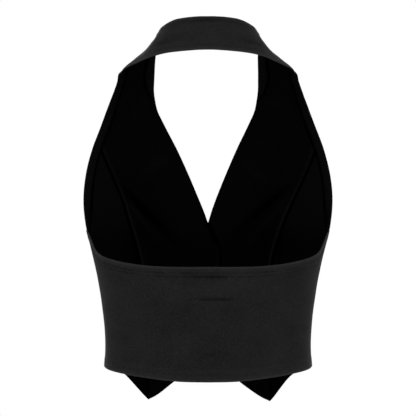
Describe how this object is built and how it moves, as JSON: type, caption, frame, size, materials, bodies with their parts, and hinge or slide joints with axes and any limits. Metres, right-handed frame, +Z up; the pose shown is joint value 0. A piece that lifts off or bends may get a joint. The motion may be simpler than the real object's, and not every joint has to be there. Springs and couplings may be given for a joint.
{
  "type": "halter neck top",
  "caption": "Cropped halter top cut like a waistcoat: wide neckband, deep V neck, lapped front with pointed hems, open back over a straight back panel, filled out as worn.",
  "frame": {"origin": "middle of the neck ring, at the neckband's mid height behind the neck, where the wearer's neck holds the top", "axes": "+Z up, -Y out of the garment's front, +X to the wearer's left"},
  "size_m": [0.312, 0.2114, 0.4716],
  "materials": {
    "cloth": "matte",
    "facing": "matte",
    "button": "satin"
  },
  "bodies": {
    "root": {"back_panel": "cloth", "neckband": "cloth", "front_left_centre": "cloth", "front_left_side": "cloth", "front_right_centre": "cloth", "front_right_side": "cloth", "armhole_facing_left": "facing", "armhole_facing_right": "facing", "neck_facing_left": "facing", "neck_facing_right": "facing", "button_top": "button", "button_middle": "button", "button_bottom": "button"}
  },
  "joints": []
}
